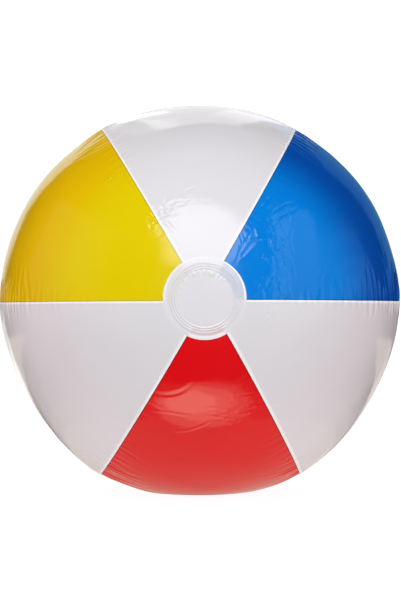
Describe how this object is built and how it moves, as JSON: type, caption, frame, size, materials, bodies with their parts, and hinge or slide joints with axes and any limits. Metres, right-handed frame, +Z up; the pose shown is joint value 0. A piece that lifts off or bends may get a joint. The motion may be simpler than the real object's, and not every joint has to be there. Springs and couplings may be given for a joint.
{
  "type": "inflatable beach ball",
  "caption": "Inflatable beach ball of welded coloured and white film gores with round polar discs and a push-in valve with plug and flap.",
  "frame": {"origin": "middle of the flat patch under the red gore on which the blown-up ball rests", "axes": "+Z up; +Y along the poles' axis from the plain front disc to the rear disc, where the valve is; +X to the right seen from the front"},
  "size_m": [0.3844, 0.3777, 0.3776],
  "materials": {
    "yellow_film": "glossy soft vinyl film",
    "white_film": "glossy soft vinyl film",
    "blue_film": "glossy soft vinyl film",
    "red_film": "glossy soft vinyl film",
    "milky_film": "glossy milky vinyl film",
    "valve_vinyl": "glossy moulded soft vinyl",
    "flap_vinyl": "glossy soft vinyl"
  },
  "bodies": {
    "ball": {"yellow_gore": "yellow_film", "top_white_gore": "white_film", "blue_gore": "blue_film", "right_white_gore": "white_film", "red_gore": "red_film", "left_white_gore": "white_film", "front_disc": "milky_film", "rear_disc": "milky_film", "valve_flange": "valve_vinyl", "valve_skirt": "valve_vinyl"},
    "stem": {"valve_stem": "valve_vinyl"},
    "plug": {"valve_plug": "valve_vinyl", "plug_strap": "valve_vinyl"},
    "flap": {"valve_flap": "flap_vinyl"}
  },
  "joints": [
    {"name": "valve_pull", "type": "slide", "parent": "ball", "child": "stem", "axis": [0, 1, 0], "range_m": [0, 0.013], "deforming": ["valve_skirt"]},
    {"name": "plug_swing", "type": "hinge", "parent": "stem", "child": "plug", "pos_m": [0, 0.18921, 0.19378], "axis": [1, 0, 0], "range_deg": [0, 150]},
    {"name": "flap_open", "type": "hinge", "parent": "stem", "child": "flap", "pos_m": [0, 0.17401, 0.19028], "axis": [-1, 0, 0], "range_deg": [0, 50]}
  ]
}
